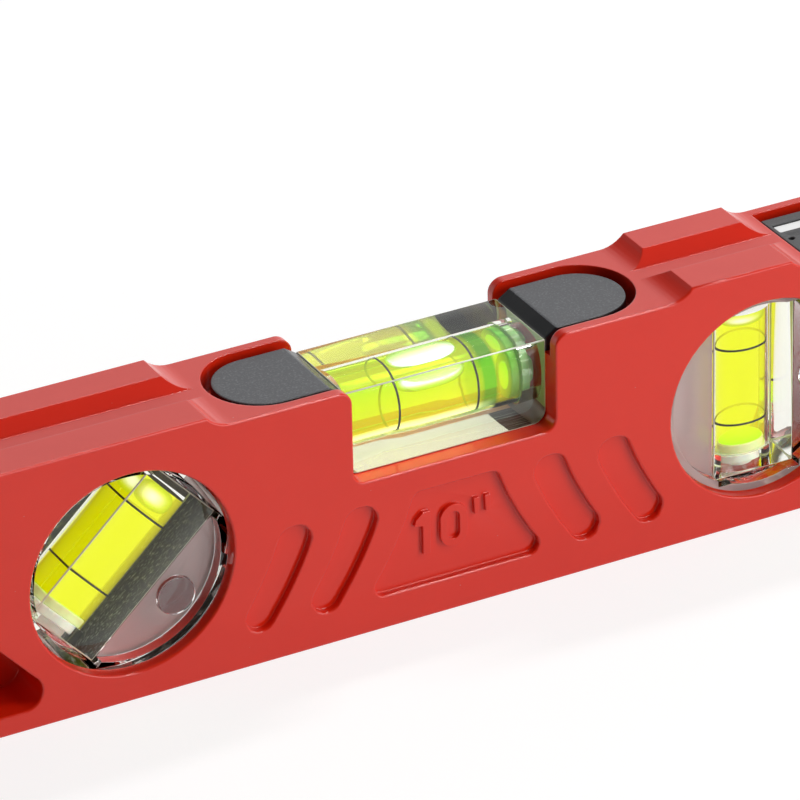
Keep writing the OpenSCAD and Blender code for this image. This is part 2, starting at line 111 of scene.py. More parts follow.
def piece_from(
    bm: Mesh, name: str, slot: str, materials: Sequence[Material], shading: Shading
) -> Piece:
    """Turns a mesh in metres into a piece that rides on the body.

    Args:
        bm: the mesh, which is freed.
        name: name of the piece.
        slot: name of a material slot of the record. It is not used.
        materials: finishes, in the order of the faces' material indices.
        shading: from which angle its edges stay sharp.

    Returns:
        The new object.
    """
    bmesh.ops.recalc_face_normals(bm, faces=bm.faces)
    mesh = bpy.data.meshes.new(name)
    bm.to_mesh(mesh)
    bm.free()
    piece = bpy.data.objects.new(name, mesh)
    bpy.context.scene.collection.objects.link(piece)
    for material in materials:
        mesh.materials.append(material)
    mesh.shade_smooth()
    mesh.set_sharp_from_angle(angle=math.radians(shading.value))
    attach(piece, ROOT)
    return piece


def solid_copy(node: str) -> Mesh:
    """Copies a CAD solid, with its seams joined and its flat faces whole again.

    Args:
        node: name of the CAD node.

    Returns:
        The mesh, in metres.
    """
    joined_within, flat_within = 2e-6, math.radians(0.3)
    bm = bmesh.new()
    bm.from_mesh(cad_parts[node].data)
    bmesh.ops.remove_doubles(bm, verts=bm.verts, dist=joined_within)
    bmesh.ops.dissolve_limit(bm, angle_limit=flat_within, verts=bm.verts, edges=bm.edges, delimit={"NORMAL"})
    for face in bm.faces:
        face.material_index = 0
    return bm


def round_edges(
    piece: Piece,
    width: float,
    segments: int = 3,
    share: Callable[[bmesh.types.BMEdge], float] | None = None,
) -> None:
    """Rounds the edges of a piece that are sharp on machined work.

    Args:
        piece: the piece.
        width: width of the rounding, in millimetres.
        segments: steps across the rounding.
        share: gives the share of the width along an edge, where it varies.
    """
    bm = bmesh.new()
    bm.from_mesh(piece.data)
    layer = bm.edges.layers.float.new("bevel_weight_edge")
    for edge in bm.edges:
        if edge.calc_face_angle(0.0) > math.radians(Shading.MACHINED.value):
            edge[layer] = share(edge) if share else 1.0
    bm.to_mesh(piece.data)
    bm.free()
    bevel = piece.modifiers.new("round_edges", "BEVEL")
    bevel.width = width * MM
    bevel.segments = segments
    bevel.limit_method = "WEIGHT"
    bevel.use_clamp_overlap = False
    bevel.loop_slide = False
    bevel.harden_normals = True
    bevel.miter_outer = "MITER_ARC"


def box_mesh(low: Sequence[float], high: Sequence[float]) -> Mesh:
    """Makes a box.

    Args:
        low: lowest corner, in millimetres.
        high: highest corner, in millimetres.

    Returns:
        The mesh, in millimetres.
    """
    bm = bmesh.new()
    bmesh.ops.create_cube(bm, size=1.0)
    for vert in bm.verts:
        vert.co = Vector([low[i] if vert.co[i] < 0 else high[i] for i in range(3)])
    return bm


def circle(bm: Mesh, x: float, r: float, count: int) -> list[Point]:
    """Adds a circle of points round the vial's axis.

    Args:
        bm: the mesh that takes them.
        x: place along the axis.
        r: radius.
        count: number of points.

    Returns:
        The new points in order.
    """
    turn = 2 * math.pi / count
    return [bm.verts.new((x, r * math.cos(turn * i), r * math.sin(turn * i))) for i in range(count)]


def skin(bm: Mesh, rings: Sequence[Sequence[Point]], index: int = 0) -> None:
    """Joins circles of points with quads.

    Args:
        bm: the mesh.
        rings: the circles, all with the same number of points.
        index: material index of the new faces.
    """
    for first, second in zip(rings, rings[1:]):
        for i in range(len(first)):
            j = (i + 1) % len(first)
            bm.faces.new((first[i], first[j], second[j], second[i])).material_index = index


def turned(bm: Mesh, profile: Iterable[tuple[float, float]], count: int = 96) -> None:
    """Adds a closed turned solid.

    Args:
        bm: the mesh that takes it.
        profile: places along the axis with their radii.
        count: number of points round the axis.
    """
    rings = [circle(bm, x, r, count) for x, r in profile]
    skin(bm, rings)
    for ring in (rings[0], rings[-1]):
        bm.faces.new(ring)


# Shared surface effects


class Tree:
    """Short way to add and link shader nodes in one tree."""

    def __init__(self, tree: bpy.types.NodeTree) -> None:
        """Keeps the tree that the nodes go to."""
        self.tree = tree

    def add(self, kind: str, values: dict | None = None, **settings: object) -> Node:
        """Adds a node.

        Args:
            kind: type of the node, without the word ShaderNode before it.
            values: value, or output to link, for each named input.
            settings: properties of the node.

        Returns:
            The node.
        """
        node = self.tree.nodes.new("ShaderNode" + kind)
        for key, value in settings.items():
            setattr(node, key, value)
        self.feed(node, values or {})
        return node

    def feed(self, node: Node, values: dict) -> None:
        """Gives a node's inputs their values.

        Args:
            node: the node.
            values: value, or output to link, for each input.
        """
        for key, value in values.items():
            socket = node.inputs[key]
            if isinstance(value, Socket):
                self.tree.links.new(value, socket)
            elif socket.type == "RGBA":
                socket.default_value = (*value, 1.0)
            else:
                socket.default_value = value

    def maths(self, operation: str, *values: object) -> Socket:
        """Adds a Math node and returns its output."""
        node = self.add("Math", dict(enumerate(values)), operation=operation)
        return node.outputs[0]

    def times(self, first: Socket, second: Socket) -> Socket:
        """Multiplies two colours and returns the result."""
        return self.add("VectorMath", {0: first, 1: second}, operation="MULTIPLY").outputs["Vector"]

    def group(self, name: str, **values: object) -> Node:
        """Places a shared effect.

        Args:
            name: name of the effect.
            values: value, or output to link, for each of its inputs.

        Returns:
            The group's node.
        """
        node = self.tree.nodes.new("ShaderNodeGroup")
        node.node_tree = bpy.data.node_groups[name]
        self.feed(node, values)
        return node

    def around(self, value: Socket, middle: float, vary: float) -> Socket:
        """Turns a value from 0 to 1 into one that lies round a middle.

        Args:
            value: the value's output.
            middle: the middle.
            vary: how far the result goes from it.

        Returns:
            The result's output.
        """
        span = {"Value": value, "To Min": middle - vary, "To Max": middle + vary}
        return self.add("MapRange", span).outputs["Result"]

    def mixed(self, factor: object, first: object, second: object) -> Socket:
        """Mixes two colours and returns the result.

        Args:
            factor: share of the second colour.
            first: colour or output.
            second: colour or output.

        Returns:
            The mixed colour's output.
        """
        return self.add("Mix", {0: factor, 6: first, 7: second}, data_type="RGBA").outputs[2]


def effect(name: str, inputs: dict[str, float], outputs: Sequence[str]) -> tuple[Tree, Node, Node]:
    """Starts a shader node group for an effect that several finishes share.

    Args:
        name: name of the group.
        inputs: its inputs with their usual values.
        outputs: its outputs.

    Returns:
        The group's tree, its input node and its output node.
    """
    tree = bpy.data.node_groups.new(name, "ShaderNodeTree")
    for key, value in inputs.items():
        tree.interface.new_socket(key, in_out="INPUT", socket_type="NodeSocketFloat").default_value = value
    for key in outputs:
        tree.interface.new_socket(key, in_out="OUTPUT", socket_type="NodeSocketFloat")
    return Tree(tree), tree.nodes.new("NodeGroupInput"), tree.nodes.new("NodeGroupOutput")


def make_moulded_grain() -> None:
    """Builds the grain of paint and moulded plastic: fine bumps on slow waves, and a fleck mask."""
    t, given, out = effect("moulded_grain", {"Size": 1.0, "Wave": 0.3}, ("Height", "Flecks"))
    place = t.add("TexCoord").outputs["Object"]
    scale = t.maths("DIVIDE", 1000.0, given.outputs["Size"])
    fine = t.add("TexNoise", {"Vector": place, "Scale": scale, "Detail": 3.0, "Roughness": 0.55})
    slow = t.add("TexNoise", {"Vector": place, "Scale": t.maths("MULTIPLY", scale, 0.18), "Detail": 1.0})
    waves = t.maths("MULTIPLY", slow.outputs["Fac"], given.outputs["Wave"])
    height = t.maths("ADD", fine.outputs["Fac"], waves)
    flecks = t.add("MapRange", {"Value": fine.outputs["Fac"], "From Min": 0.52, "From Max": 0.7})
    t.feed(out, {"Height": height, "Flecks": flecks.outputs["Result"]})


def make_hairlines() -> None:
    """Builds fine straight scratches that run along the object, broken into short strokes."""
    t, given, out = effect("hairlines", {"Pitch": 0.5, "Amount": 0.3}, ("Mask",))
    place = t.add("TexCoord").outputs["Object"]
    scale = t.maths("DIVIDE", 1000.0, given.outputs["Pitch"])
    stretched = t.add("Mapping", {"Vector": place, "Scale": (0.06, 1.0, 1.0), "Rotation": (0.0, 0.3, 0.12)})
    strokes = t.add(
        "TexNoise", {"Vector": stretched.outputs[0], "Scale": scale, "Detail": 4.0, "Roughness": 0.7}
    )
    low = t.maths("SUBTRACT", 0.72, t.maths("MULTIPLY", given.outputs["Amount"], 0.2))
    lines = t.add("MapRange", {"Value": strokes.outputs["Fac"], "From Min": low, "From Max": 0.78})
    t.feed(out, {"Mask": lines.outputs["Result"]})


def make_handling() -> None:
    """Builds the faint cloudy patches and few specks that handling leaves."""
    t, given, out = effect("handling", {"Size": 12.0, "Specks": 0.1}, ("Cloud", "Specks"))
    place = t.add("TexCoord").outputs["Object"]
    scale = t.maths("DIVIDE", 1000.0, given.outputs["Size"])
    cloud = t.add("TexNoise", {"Vector": place, "Scale": scale, "Detail": 5.0, "Roughness": 0.6})
    dots = t.add("TexVoronoi", {"Vector": place, "Scale": t.maths("MULTIPLY", scale, 3.0)})
    size = t.maths("MULTIPLY", given.outputs["Specks"], 0.2)
    specks = t.maths("LESS_THAN", dots.outputs["Distance"], size)
    t.feed(out, {"Cloud": cloud.outputs["Fac"], "Specks": specks})


def make_effects() -> None:
    """Builds every shared surface effect once."""
    make_moulded_grain()
    make_hairlines()
    make_handling()


# Finishes


def new_material(name: str) -> tuple[Material, Tree, Node, Node]:
    """Starts a material.

    Args:
        name: name of the finish.

    Returns:
        The material, its tree, its principled shader and its output.
    """
    material = bpy.data.materials.new(name)
    material.use_nodes = True
    nodes = material.node_tree.nodes
    return material, Tree(material.node_tree), nodes["Principled BSDF"], nodes["Material Output"]


def bumped(t: Tree, height: Socket, depth: float, edge: float = 0.0) -> Socket:
    """Turns a height into a normal.

    Args:
        t: the material's tree.
        height: the height's output.
        depth: depth of the relief, in millimetres.
        edge: radius to which sharp edges look rounded, in millimetres, 0 for sharp ones.

    Returns:
        The normal's output.
    """
    values = {"Height": height, "Distance": depth * MM}
    if edge:
        values["Normal"] = t.add("Bevel", {"Radius": edge * MM}, samples=8).outputs[0]
    return t.add("Bump", values).outputs[0]


@dataclass(frozen=True)
class Paint:
    """Glossy red paint over a cast body, with a slight orange peel and edges that look rounded.

    Attributes:
        name: name of the finish.
        edge: radius of the rounding that its edges seem to have, in millimetres.
        colour: its main colour.
        deep: its colour in the darker patches.
        speck: colour of its few specks.
        roughness: roughness of the paint under its gloss.
        vary: how far that roughness varies.
        peel: size of the orange peel, in millimetres.
        peel_depth: depth of the orange peel, in millimetres.
        shine: level of the mirror shine under its gloss.
        coat: weight of its gloss.
        coat_roughness: roughness of its gloss.
    """

    name: str
    edge: float
    colour: Colour = (0.78, 0.022, 0.004)
    deep: Colour = (0.71, 0.016, 0.002)
    speck: Colour = (0.6, 0.16, 0.13)
    roughness: float = 0.42
    vary: float = 0.05
    peel: float = 0.9
    peel_depth: float = 0.01
    shine: float = 0.1
    coat: float = 0.8
    coat_roughness: float = 0.1

    def material(self) -> Material:
        """Builds the paint.

        Returns:
            The new material.
        """
        material, t, shader, _ = new_material(self.name)
        grain = t.group("moulded_grain", Size=self.peel, Wave=0.5)
        use = t.group("handling", Size=14.0, Specks=0.1)
        patched = t.mixed(use.outputs["Cloud"], self.colour, self.deep)
        normal = bumped(t, grain.outputs["Height"], self.peel_depth, self.edge)
        t.feed(shader, {
            "Base Color": t.mixed(use.outputs["Specks"], patched, self.speck),
            "Roughness": t.around(use.outputs["Cloud"], self.roughness, self.vary),
            "Specular IOR Level": self.shine,
            "Normal": normal,
            "Coat Weight": self.coat,
            "Coat Roughness": self.coat_roughness,
            "Coat Normal": normal,
        })
        return material


@dataclass(frozen=True)
class Plastic:
    """Moulded plastic with a fine grain.

    Attributes:
        name: name of the finish.
        colour: its main colour.
        fleck: colour of the grain's tops.
        roughness: roughness of the surface.
        grain: size of the grain, in millimetres.
        depth: depth of the grain, in millimetres.
        wear: how far handling lightens it.
        vary: how far its roughness varies.
    """

    name: str
    colour: Colour
    fleck: Colour
    roughness: float
    grain: float = 0.35
    depth: float = 0.02
    wear: float = 0.25
    vary: float = 0.08

    def material(self) -> Material:
        """Builds the plastic.

        Returns:
            The new material.
        """
        material, t, shader, _ = new_material(self.name)
        grain = t.group("moulded_grain", Size=self.grain, Wave=0.2)
        use = t.group("handling", Size=9.0, Specks=0.0)
        flecked = t.mixed(grain.outputs["Flecks"], self.colour, self.fleck)
        worn = t.maths("MULTIPLY", use.outputs["Cloud"], self.wear)
        t.feed(shader, {
            "Base Color": t.mixed(worn, flecked, self.fleck),
            "Roughness": t.around(use.outputs["Cloud"], self.roughness, self.vary),
            "Normal": bumped(t, grain.outputs["Height"], self.depth),
        })
        return material


@dataclass(frozen=True)
class Scored:
    """Surface with fine lines along it, such as a bright strip or a side with scratches.

    Attributes:
        name: name of the finish.
        colour: its colour.
        line: colour of its lines.
        metallic: how far it mirrors as metal does.
        roughness: its roughness.
        amount: share of lines, from 0 to 1.
        gloss: level of its mirror shine, where it isn't metal.
        relief: depth of its lines, in millimetres.
    """

    name: str
    colour: Colour
    line: Colour
    metallic: float = 1.0
    roughness: float = 0.28
    amount: float = 0.6
    gloss: float = 0.5
    relief: float = 0.01

    def material(self) -> Material:
        """Builds the surface.

        Returns:
            The new material.
        """
        material, t, shader, _ = new_material(self.name)
        mask = t.group("hairlines", Pitch=0.5, Amount=self.amount).outputs["Mask"]
        t.feed(shader, {
            "Base Color": t.mixed(mask, self.colour, self.line),
            "Metallic": self.metallic,
            "Roughness": self.roughness,
            "Specular IOR Level": self.gloss,
            "Normal": bumped(t, mask, self.relief),
        })
        return material


@dataclass(frozen=True)
class Dye:
    """Dye of a liquid, which takes light on its way through, with a painted glow that stands in for the light
    it gives off again.

    Attributes:
        loss: share of red, green and blue light that is lost over a metre, as a rate.
        painted_glow: colour of the painted glow, which a very deep pool of it would show.
    """

    loss: Colour = (170.0, 140.0, 560.0)
    painted_glow: Colour = (0.95, 1.0, 0.0)

    def fill(self, t: Tree, output: Node) -> None:
        """Fills the inside of a material with the dye and its painted glow.

        Args:
            t: the material's tree.
            output: the material's output.
        """
        rate = max(self.loss)
        kept = [1 - loss / rate for loss in self.loss]
        taken = t.add("VolumeAbsorption", {"Color": kept, "Density": rate})
        # Painted glow: emission that does not depend on the light falling on the spirit.
        light = [painted_glow * loss for painted_glow, loss in zip(self.painted_glow, self.loss)]
        strength = max(light)
        given = t.add("Emission", {"Color": [c / strength for c in light], "Strength": strength})
        both = t.add("AddShader", {0: taken.outputs[0], 1: given.outputs[0]})
        t.feed(output, {"Volume": both.outputs[0]})


@dataclass(frozen=True)
class Ramp:
    """Colours along one axis of the object.

    Attributes:
        axis: X, Y or Z.
        stops: places in millimetres, each with its colour.
    """

    axis: str
    stops: tuple[tuple[float, Colour], ...]

    def colour(self, t: Tree) -> Socket:
        """Builds the ramp.

        Args:
            t: the material's tree.

        Returns:
            The colour's output.
        """
        place = t.add("SeparateXYZ", {0: t.add("TexCoord").outputs["Object"]}).outputs[self.axis]
        low, high = self.stops[0][0], self.stops[-1][0]
        share = t.add("MapRange", {"Value": place, "From Min": low * MM, "From Max": high * MM})
        ramp = t.add("ValToRGB", {"Fac": share.outputs["Result"]})
        elements = ramp.color_ramp.elements
        while len(elements) < len(self.stops):
            elements.new(0.5)
        for element, (at, colour) in zip(elements, self.stops):
            element.position = (at - low) / (high - low)
            element.color = (*colour, 1.0)
        return ramp.outputs["Color"]


@dataclass(frozen=True)
class Clear:
    """Clear solid or liquid, which lets shadow rays through with its own tint.

    Attributes:
        name: name of the finish.
        tint: colour that light takes at each surface.
        ior: index against what lies outside the faces.
        roughness: roughness, over 0 for a frosted face.
        dye: dye inside it.
        shade: colour that shadow rays take.
        painted_tint_ramps: colours that tint it further along the object's axes, painted light and shade
            where the spirit bends light as a lens.
        painted_light_ramps: painted light that it gives off, as the product of colours along the axes,
            standing in for light that the spirit gathers as a lens does.
        haze: share of it that scatters light as milky plastic does.
        painted_highlight: brightness of a painted highlight on the faces that look straight at the viewer, as
            on a bubble.
        painted_highlight_colour: colour of that painted highlight, bluish because the yellow spirit takes the
            blue.
        painted_highlight_fall: how fast it falls off towards the rim.
        rim: colour of the faces seen edge on, where there is a painted highlight, a painted green shade round
            its edge.
    """

    name: str
    tint: Colour
    ior: float
    roughness: float = 0.0
    dye: Dye | None = None
    shade: Colour = (0.95, 0.95, 0.93)
    painted_tint_ramps: tuple[Ramp, ...] = ()
    painted_light_ramps: tuple[Ramp, ...] = ()
    haze: float = 0.0
    painted_highlight: float = 0.0
    painted_highlight_colour: Colour = (0.55, 0.57, 1.5)
    painted_highlight_fall: float = 6.0
    rim: Colour = (0.1, 0.4, 0.1)

    def material(self) -> Material:
        """Builds the clear finish.

        Returns:
            The new material.
        """
        material, t, shader, output = new_material(self.name)
        cloud = t.group("handling", Size=7.0, Specks=0.0).outputs["Cloud"]
        tint = t.mixed(cloud, self.tint, [c * 0.97 for c in self.tint])
        for ramp in self.painted_tint_ramps:
            tint = t.times(tint, ramp.colour(t))
        t.feed(shader, {
            "Base Color": tint,
            "Roughness": self.roughness,
            "IOR": self.ior,
            "Transmission Weight": 1.0 - self.haze,
        })
        # Painted light given off by place.
        if self.painted_light_ramps:
            light = self.painted_light_ramps[0].colour(t)
            for ramp in self.painted_light_ramps[1:]:
                light = t.times(light, ramp.colour(t))
            t.feed(shader, {"Emission Color": light, "Emission Strength": 1.0})
        # Painted highlight: faces that look at the viewer glow, and faces seen edge on take the rim colour as
        # painted shade.
        if self.painted_highlight:
            facing = t.maths("SUBTRACT", 1.0, t.add("LayerWeight", {"Blend": 0.5}).outputs["Facing"])
            fallen = t.maths("POWER", facing, self.painted_highlight_fall)
            t.feed(shader, {
                "Base Color": t.mixed(facing, self.rim, self.tint),
                "Emission Color": self.painted_highlight_colour,
                "Emission Strength": t.maths("MULTIPLY", fallen, self.painted_highlight),
            })
        if self.dye:
            self.dye.fill(t, output)
        through = t.add("BsdfTransparent", {"Color": self.shade})
        ray = t.add("LightPath").outputs["Is Shadow Ray"]
        mix = t.add("MixShader", {0: ray, 1: shader.outputs[0], 2: through.outputs[0]})
        t.feed(output, {"Surface": mix.outputs[0]})
        return material


@dataclass(frozen=True)
class Milky:
    """Milky plastic of a stopper or of its dyed inner face, with a painted glow.

    Attributes:
        name: name of the finish.
        colour: its colour.
        painted_glow: strength of a painted glow, given off whatever the light, that stands in for light
            scattered out of it.
        roughness: roughness of its surface.
        depth: how deep light goes into it, in millimetres.
    """

    name: str
    colour: Colour
    painted_glow: float = 0.1
    roughness: float = 0.35
    depth: float = 2.0

    def material(self) -> Material:
        """Builds the milky finish.

        Returns:
            The new material.
        """
        material, t, shader, _ = new_material(self.name)
        grain = t.group("moulded_grain", Size=1.4, Wave=0.6)
        t.feed(shader, {
            "Base Color": t.mixed(grain.outputs["Flecks"], self.colour, [c * 0.9 for c in self.colour]),
            "Roughness": self.roughness,
            "Normal": bumped(t, grain.outputs["Height"], 0.02),
            "Subsurface Weight": 0.4,
            "Subsurface Scale": self.depth * MM,
            # Painted glow in the plastic's own colour.
            "Emission Color": self.colour,
            "Emission Strength": self.painted_glow,
        })
        return material


class Finishes:
    """Every finish of the level, each built once."""

    def __init__(self) -> None:
        """Builds the finishes."""
        self.paint = Paint("red_paint", 0.32).material()
        self.fine_paint = Paint("red_paint_on_numerals", 0.06).material()
        self.cap = Plastic("grey_cap", (0.07, 0.073, 0.08), (0.15, 0.155, 0.168), 0.45).material()
        # Sides of the caps: smoother, and darker than the tops as painted shade.
        self.cap_side_painted_shade = Plastic(
            "cap_side_painted_shade", (0.008, 0.009, 0.011), (0.012, 0.013, 0.015), 0.25, depth=0.004
        ).material()
        self.insert = Plastic("black_insert", (0.045, 0.046, 0.048), (0.09, 0.09, 0.092), 0.42).material()
        self.strip = Scored("bright_strip", (0.82, 0.82, 0.81), (0.5, 0.5, 0.5)).material()
        self.line = Plastic(
            "ring_line", (0.008, 0.008, 0.008), (0.02, 0.02, 0.02), 0.6, grain=0.2, depth=0.0
        ).material()
        self.block = Clear("clear_block", (0.98, 1.0, 0.93), 1.49).material()
        # Near-black with light scratch lines: painted shade and dark reflection on a block's faces.
        self.painted_shade_with_scratches = Scored(
            "side_painted_shade_with_scratches", (0.008, 0.01, 0.006), (0.6, 0.62, 0.56), 0.0, 0.4, amount=0.95, gloss=0.1
        ).material()
        self.film = Scored(
            "bright_film", (0.8, 0.78, 0.62), (0.73, 0.71, 0.57), 0.65, 0.03, amount=0.2, relief=0.0
        ).material()
        # Pale block edges: a painted highlight.
        self.edge = Scored("edge_painted_highlight", (0.72, 0.76, 0.62), (0.6, 0.64, 0.5), 0.0, 0.2, 0.2).material()
        # Painted light: amber light under the block's front and back, with lines of painted yellow highlight.
        self.painted_amber_light = Scored("amber_painted_light", (0.5, 0.2, 0.01), (0.9, 0.6, 0.03), 0.0, 0.3, 0.8).material()
        # Painted shade under a closed end and on a block's rounded feet.
        self.painted_brown_shade = Scored("brown_painted_shade", (0.1, 0.07, 0.04), (0.3, 0.22, 0.14), 0.0, 0.4, 0.6).material()
        self.sawn = Scored("sawn_end", (0.42, 0.6, 0.3), (0.34, 0.5, 0.24), 0.0, 0.5, 0.6).material()
        self.bore = Clear("bore_wall", (1.0, 1.0, 1.0), 1.49 / 1.36).material()
        tint, shade = (0.98, 1.0, 0.8), (1.0, 1.0, 1.0)
        self.spirit = Clear("spirit", tint, 1.0, dye=Dye(), shade=shade).material()
        white, green = (1.0, 1.0, 1.0), (0.06, 0.42, 0.2)
        # Painted light and shade in the long spirit's tint: green towards the plug end, an amber line low
        # down, green at the top.
        across = Ramp("X", (
            (-12.0, (0.9, 1.0, 0.8)), (6.8, white), (8.6, green), (10.6, green), (11.4, white),
        ))
        painted_shade_upwards = Ramp("Z", (
            (31.4, white), (32.2, (0.95, 0.75, 0.2)), (33.0, (0.95, 0.9, 0.4)),
            (36.5, white), (39.0, (0.8, 1.0, 0.6)), (41.0, (0.6, 0.95, 0.45)),
        ))
        black = (0.0, 0.0, 0.0)
        # Painted light: a bright band low in the front of the long spirit, away from the plug end, where the
        # spirit gathers light as a lens does.
        painted_caustic = (
            Ramp("Z", (
                (31.4, (0.9, 0.88, 0.7)), (33.5, (0.85, 0.8, 0.45)), (34.2, (0.2, 0.1, 0.0)), (35.0, black),
            )),
            Ramp("Y", ((-2.0, white), (-0.5, black))),
            Ramp("X", ((-16.0, white), (5.0, white), (11.0, black))),
        )
        self.long_spirit = Clear(
            "long_spirit", tint, 1.0, dye=Dye((110.0, 90.0, 420.0), (0.9, 1.0, 0.0)), shade=shade,
            painted_tint_ramps=(across, painted_shade_upwards), painted_light_ramps=painted_caustic,
        ).material()
        # Bubble walls with a painted highlight, strong in the long vial and faint in the round ones.
        self.bubble = Clear("bubble_wall", white, 1.36, painted_highlight=2.6).material()
        self.dim_bubble = Clear("dim_bubble_wall", white, 1.36, painted_highlight=0.7).material()
        self.plug = Milky("milky_plug", (0.8, 0.82, 0.76)).material()
        self.green_plug = Milky("green_plug", (0.22, 0.45, 0.13), 0.1).material()
        self.plug_face = Milky("dyed_plug_face", (0.4, 0.85, 0.0), 0.4).material()
        self.holder = Clear("clear_holder", (0.96, 0.96, 0.95), 1.49).material()
        self.thin = Clear("thin_clear_plate", (0.93, 0.95, 0.88), 1.0).material()
        # Pink-grey tint: painted shade, with painted red light thrown back from the body.
        self.frosted = Clear("frosted_plate_painted_shade", (0.6, 0.48, 0.46), 1.49, 0.25, haze=0.5).material()


# Sub-assemblies


@dataclass
class Body:
    """Cast body: a copy of the CAD solid in red paint, with finer edges on its numerals.

    Attributes:
        edge: width of the rounding along the rims of its front and back.
        numeral_share: share of that width along the numerals.
        numeral_x: half the length of the numerals' part of the face.
        numeral_z: lowest and highest place of that part.
        numeral_y: distance of the numerals' tops from its middle, a little under the faces.
        numeral_foot: least distance of anything on that part from its middle.
        face_y: distance of its front and back faces from its middle.
        rim_depth: depth under those faces within which an edge lies along a rim.
    """

    edge: float = 0.4
    numeral_share: float = 0.25
    numeral_x: float = 8.2
    numeral_z: tuple[float, float] = (11.0, 20.0)
    numeral_y: float = 11.2
    numeral_foot: float = 9.0
    face_y: float = 11.75
    rim_depth: float = 0.05

    def on_numerals(self, verts: Sequence[Point]) -> bool:
        """Tells whether a face or an edge lies on or among the numerals.

        Args:
            verts: its corners.

        Returns:
            True where all of them lie there.
        """
        x, foot, (low, high) = self.numeral_x * MM, self.numeral_foot * MM, self.numeral_z
        return all(abs(v.co.x) < x and abs(v.co.y) > foot and low * MM < v.co.z < high * MM for v in verts)

    def share(self, edge: bmesh.types.BMEdge) -> float:
        """Works out how far an edge is rounded: none off the front and back.

        Args:
            edge: the edge.

        Returns:
            Its share of the whole width.
        """
        if self.on_numerals(edge.verts):
            return self.numeral_share
        return float(all(abs(v.co.y) > (self.face_y - self.rim_depth) * MM for v in edge.verts))

    def build(self, finishes: Finishes) -> list[Piece]:
        """Builds the painted body.

        Args:
            finishes: finishes of the level.

        Returns:
            The body in a list.
        """
        bm = solid_copy("body")
        for face in bm.faces:
            face.material_index = 1 if self.on_numerals(face.verts) else 0
        for vert in bm.verts:
            if self.on_numerals([vert]) and abs(vert.co.y) > self.numeral_y * MM:
                vert.co.y = math.copysign(self.numeral_y * MM, vert.co.y)
        finish = [finishes.paint, finishes.fine_paint]
        piece = piece_from(bm, "painted_body", "red_paint", finish, Shading.CAST)
        round_edges(piece, self.edge, share=self.share)
        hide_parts("body")
        return [piece]


@dataclass
class Caps:
    """Grained caps beside the middle window.

    Attributes:
        edge: width of the rounding along their edges.
    """

    edge: float = 0.3

    def build(self, finishes: Finishes) -> list[Piece]:
        """Builds both caps.

        Args:
            finishes: finishes of the level.

        Returns:
            Both caps.
        """
        made = []
        for side in ("left", "right"):
            bm = solid_copy(f"{side}_cap")
            for face in bm.faces:
                # Tops take the grained grey, and every other face takes the darker side finish, painted
                # shade.
                face.material_index = 0 if face.normal.z > SQUARE_ON else 1
            finish = [finishes.cap, finishes.cap_side_painted_shade]
            piece = piece_from(bm, f"{side}_grained_cap", "grey_cap", finish, Shading.MACHINED)
            round_edges(piece, self.edge)
            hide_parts(f"{side}_cap")
            made.append(piece)
        return made


@dataclass
class TopInsert:
    """Black insert of the top pocket with its bright strip.

    Attributes:
        edge: width of the rounding along the insert's edges.
        strip_edge: the same width for the strip.
    """

    edge: float = 0.25
    strip_edge: float = 0.08

    def build(self, finishes: Finishes) -> list[Piece]:
        """Builds the insert and the strip.

        Args:
            finishes: finishes of the level.

        Returns:
            The insert and the strip.
        """
        made = []
        for node, name, slot, finish, edge in (
            ("top_insert", "grooved_insert", "black_insert", finishes.insert, self.edge),
            ("insert_strip", "bright_insert_strip", "bright_strip", finishes.strip, self.strip_edge),
        ):
            piece = piece_from(solid_copy(node), name, slot, [finish], Shading.MACHINED)
            round_edges(piece, edge, segments=2)
            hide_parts(node)
            made.append(piece)
        return made


@dataclass
class Holder:
    """Clear ring and frosted plate that hold a vial in a round window.

    Attributes:
        node: name of the CAD node.
        seat: place of its vial.
        post: place of the clear round post, along and across the vial.
        frosted: least and greatest place across the vial where its plate is frosted, in its painted pink-grey
            shade. Elsewhere it is thin.
        post_r: radius of the clear face of that post, with its edge.
        plate_r: radius of the plate.
        edge: width of the rounding along its edges.
    """

    node: str
    seat: Seat
    post: tuple[float, float]
    frosted: tuple[float, float] = (-20.0, 20.0)
    post_r: float = 3.5
    plate_r: float = 16.0
    edge: float = 0.15

    def build(self, finishes: Finishes) -> list[Piece]:
        """Builds the holder.

        Args:
            finishes: finishes of the level.

        Returns:
            The holder in a list.
        """
        bm = solid_copy(self.node)
        back = (Matrix.Scale(MM, 4) @ self.seat.matrix()).inverted()
        for face in bm.faces:
            place = back @ face.calc_center_median()
            facing = (back.to_3x3() @ face.normal).normalized()
            off_post = math.hypot(place.x - self.post[0], place.y - self.post[1]) > self.post_r
            in_plate = math.hypot(place.x, place.y) < self.plate_r
            if in_plate and not self.frosted[0] < place.y < self.frosted[1]:
                face.material_index = 2
            elif abs(facing.z) > SQUARE_ON and in_plate and off_post:
                face.material_index = 1
        finish = [finishes.holder, finishes.frosted, finishes.thin]
        piece = piece_from(bm, f"{self.node}_clear", "clear_holder", finish, Shading.MACHINED)
        round_edges(piece, self.edge, segments=2)
        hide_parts(self.node)
        return [piece]


